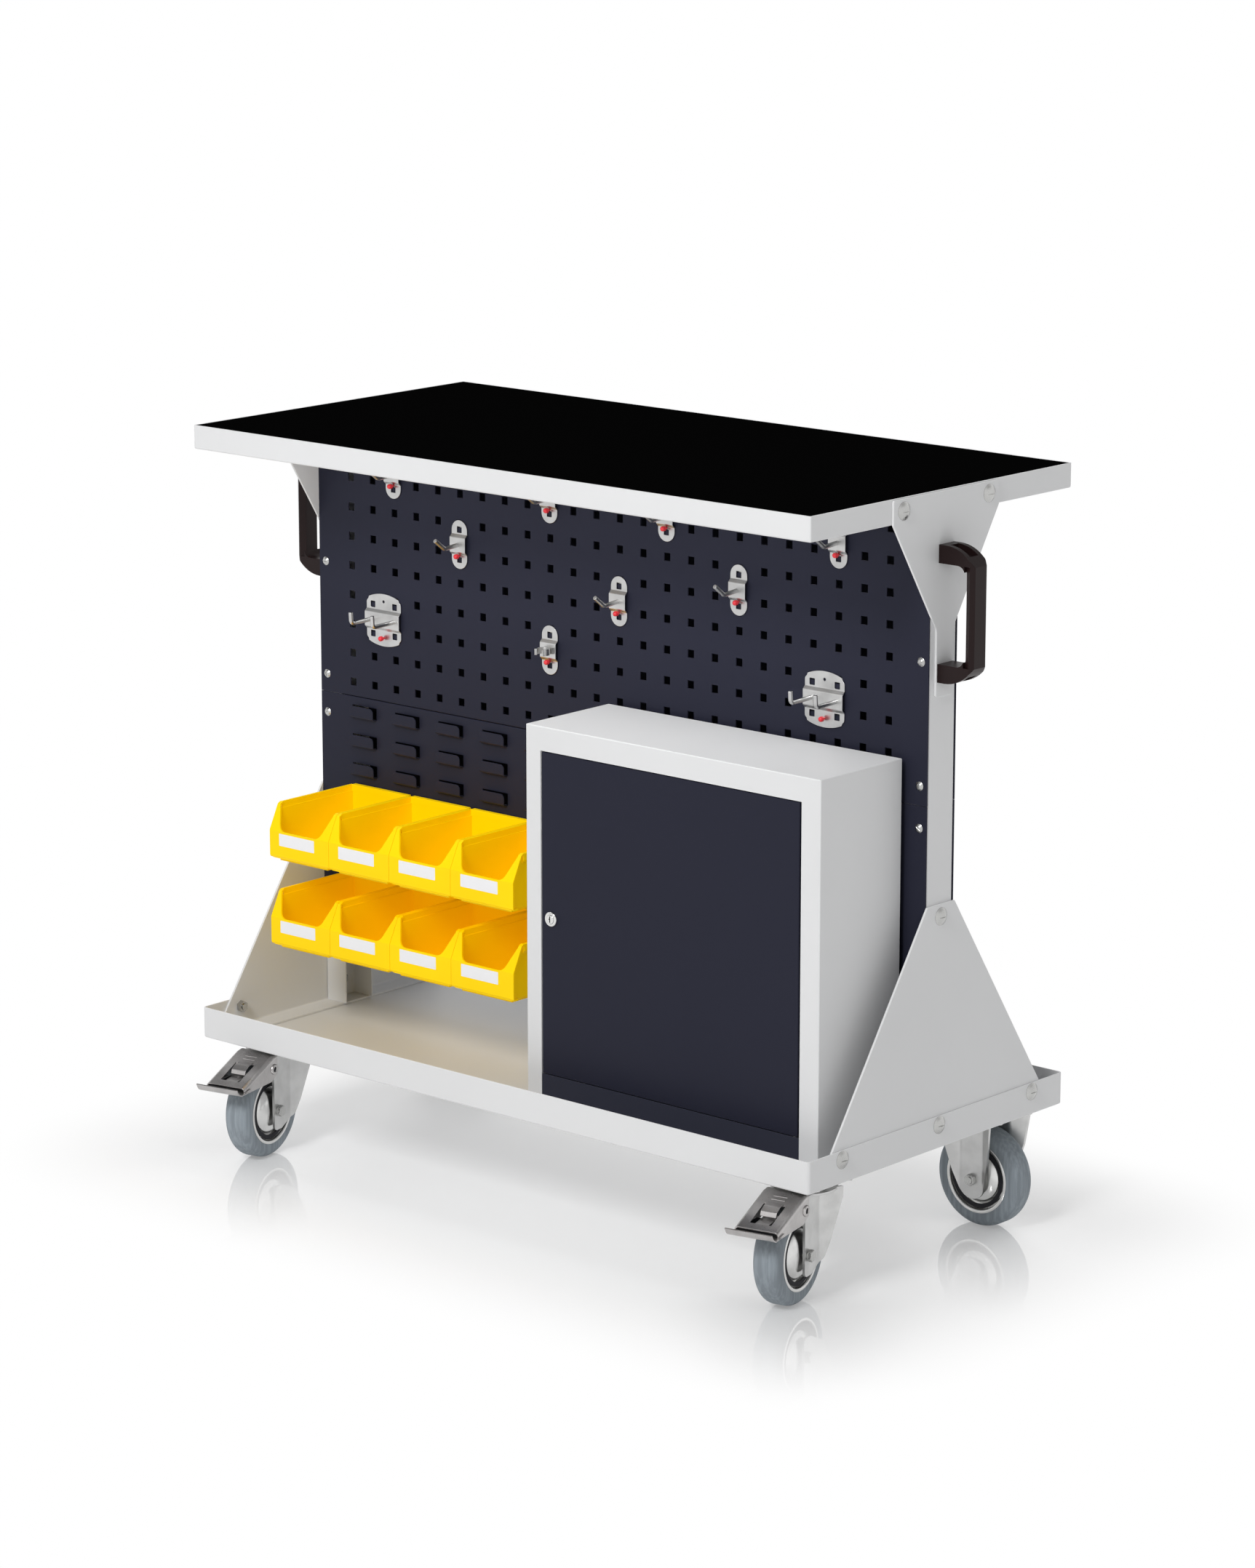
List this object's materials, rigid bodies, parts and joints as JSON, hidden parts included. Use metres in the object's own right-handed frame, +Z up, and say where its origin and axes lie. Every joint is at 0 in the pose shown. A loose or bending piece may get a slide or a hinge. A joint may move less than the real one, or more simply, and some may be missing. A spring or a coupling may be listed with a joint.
{
  "type": "workbench trolley",
  "caption": "Mobile workbench: worktop over two-sided tool panels, with a lockable wall cabinet, storage bins, hooks, end handles and castors.",
  "frame": {"origin": "centre of the overall box on the floor", "axes": "+X along the bench towards the cabinet end, +Y to the rear, +Z up"},
  "size_m": [1.097, 0.5614, 0.942],
  "materials": {
    "frame_paint": "light grey powder coat",
    "panel_paint": "dark blue-grey powder coat",
    "worktop_core": "chipboard",
    "mat_rubber": "black ribbed rubber mat",
    "zinc": "zinc plated steel",
    "grip_plastic": "black plastic",
    "lock_chrome": "nickel plated",
    "pin_red": "red plastic",
    "tyre_grey": "grey rubber",
    "bin_yellow": "yellow plastic"
  },
  "bodies": {
    "frame": {"base_tray": "frame_paint", "side_plate_left": "frame_paint", "side_plate_right": "frame_paint", "post_left": "frame_paint", "post_right": "frame_paint", "gusset_left": "frame_paint", "gusset_right": "frame_paint", "worktop_frame": "frame_paint", "worktop_board": "worktop_core", "worktop_mat": "mat_rubber", "front_hole_panel": "panel_paint", "front_louvre_panel": "panel_paint", "rear_hole_panel": "panel_paint", "rear_louvre_panel": "panel_paint", "panel_screws": "zinc", "frame_bolts": "zinc", "frame_nuts": "zinc", "handle_left": "grip_plastic", "handle_right": "grip_plastic", "handle_screws": "zinc", "cabinet_body": "frame_paint", "cabinet_shelf": "frame_paint", "cabinet_pins": "zinc", "kick_plate": "panel_paint", "single_hooks": "zinc", "double_hooks": "zinc", "spring_clip": "zinc", "hook_lock_pins": "pin_red", "castor_bolts": "zinc", "swivel_plates": "zinc", "fixed_fork_left": "zinc", "fixed_fork_right": "zinc", "axle_rear_left": "zinc", "axle_rear_right": "zinc"},
    "door": {"cabinet_door": "panel_paint", "lock_barrel": "lock_chrome"},
    "lock": {"lock_plug": "lock_chrome"},
    "fork_left": {"fork_left": "zinc", "axle_front_left": "zinc"},
    "fork_right": {"fork_right": "zinc", "axle_front_right": "zinc"},
    "pedal_left": {"pedal_left": "zinc"},
    "pedal_right": {"pedal_right": "zinc"},
    "wheel_front_left": {"hub_front_left": "zinc", "tyre_front_left": "tyre_grey"},
    "wheel_front_right": {"hub_front_right": "zinc", "tyre_front_right": "tyre_grey"},
    "wheel_rear_left": {"hub_rear_left": "zinc", "tyre_rear_left": "tyre_grey"},
    "wheel_rear_right": {"hub_rear_right": "zinc", "tyre_rear_right": "tyre_grey"},
    "bin_a1": {"bin_a1": "bin_yellow"},
    "bin_a2": {"bin_a2": "bin_yellow"},
    "bin_a3": {"bin_a3": "bin_yellow"},
    "bin_a4": {"bin_a4": "bin_yellow"},
    "bin_b1": {"bin_b1": "bin_yellow"},
    "bin_b2": {"bin_b2": "bin_yellow"},
    "bin_b3": {"bin_b3": "bin_yellow"},
    "bin_b4": {"bin_b4": "bin_yellow"}
  },
  "joints": [
    {"name": "door_hinge", "type": "hinge", "parent": "frame", "child": "door", "pos_m": [0.4265, -0.14159, 0.4], "axis": [0, 0, 1], "range_deg": [0, 105]},
    {"name": "lock_turn", "type": "hinge", "parent": "door", "child": "lock", "pos_m": [0.048, -0.1476, 0.389], "axis": [0, 1, 0], "range_deg": [0, 90]},
    {"name": "swivel_left", "type": "hinge", "parent": "frame", "child": "fork_left", "pos_m": [-0.437, -0.1393, 0.14], "axis": [0, 0, 1], "continuous": true},
    {"name": "spin_front_left", "type": "hinge", "parent": "fork_left", "child": "wheel_front_left", "pos_m": [-0.42942, -0.17653, 0.0625], "axis": [0.9799, 0.1994, 0], "continuous": true},
    {"name": "brake_left", "type": "hinge", "parent": "fork_left", "child": "pedal_left", "pos_m": [-0.42703, -0.18829, 0.1205], "axis": [0.9799, 0.1994, 0], "range_deg": [0, 8]},
    {"name": "spin_rear_left", "type": "hinge", "parent": "frame", "child": "wheel_rear_left", "pos_m": [-0.437, 0.21071, 0.0625], "axis": [0, 1, 0], "continuous": true},
    {"name": "swivel_right", "type": "hinge", "parent": "frame", "child": "fork_right", "pos_m": [0.437, -0.1393, 0.14], "axis": [0, 0, 1], "continuous": true},
    {"name": "spin_front_right", "type": "hinge", "parent": "fork_right", "child": "wheel_front_right", "pos_m": [0.44458, -0.17653, 0.0625], "axis": [0.9799, 0.1994, 0], "continuous": true},
    {"name": "brake_right", "type": "hinge", "parent": "fork_right", "child": "pedal_right", "pos_m": [0.44697, -0.18829, 0.1205], "axis": [0.9799, 0.1994, 0], "range_deg": [0, 8]},
    {"name": "spin_rear_right", "type": "hinge", "parent": "frame", "child": "wheel_rear_right", "pos_m": [0.437, 0.21071, 0.0625], "axis": [0, 1, 0], "continuous": true},
    {"name": "lift_bin_a1", "type": "slide", "parent": "frame", "child": "bin_a1", "axis": [0, 0, 1], "range_m": [0, 0.01]},
    {"name": "lift_bin_a2", "type": "slide", "parent": "frame", "child": "bin_a2", "axis": [0, 0, 1], "range_m": [0, 0.01]},
    {"name": "lift_bin_a3", "type": "slide", "parent": "frame", "child": "bin_a3", "axis": [0, 0, 1], "range_m": [0, 0.01]},
    {"name": "lift_bin_a4", "type": "slide", "parent": "frame", "child": "bin_a4", "axis": [0, 0, 1], "range_m": [0, 0.01]},
    {"name": "lift_bin_b1", "type": "slide", "parent": "frame", "child": "bin_b1", "axis": [0, 0, 1], "range_m": [0, 0.01]},
    {"name": "lift_bin_b2", "type": "slide", "parent": "frame", "child": "bin_b2", "axis": [0, 0, 1], "range_m": [0, 0.01]},
    {"name": "lift_bin_b3", "type": "slide", "parent": "frame", "child": "bin_b3", "axis": [0, 0, 1], "range_m": [0, 0.01]},
    {"name": "lift_bin_b4", "type": "slide", "parent": "frame", "child": "bin_b4", "axis": [0, 0, 1], "range_m": [0, 0.01]}
  ]
}
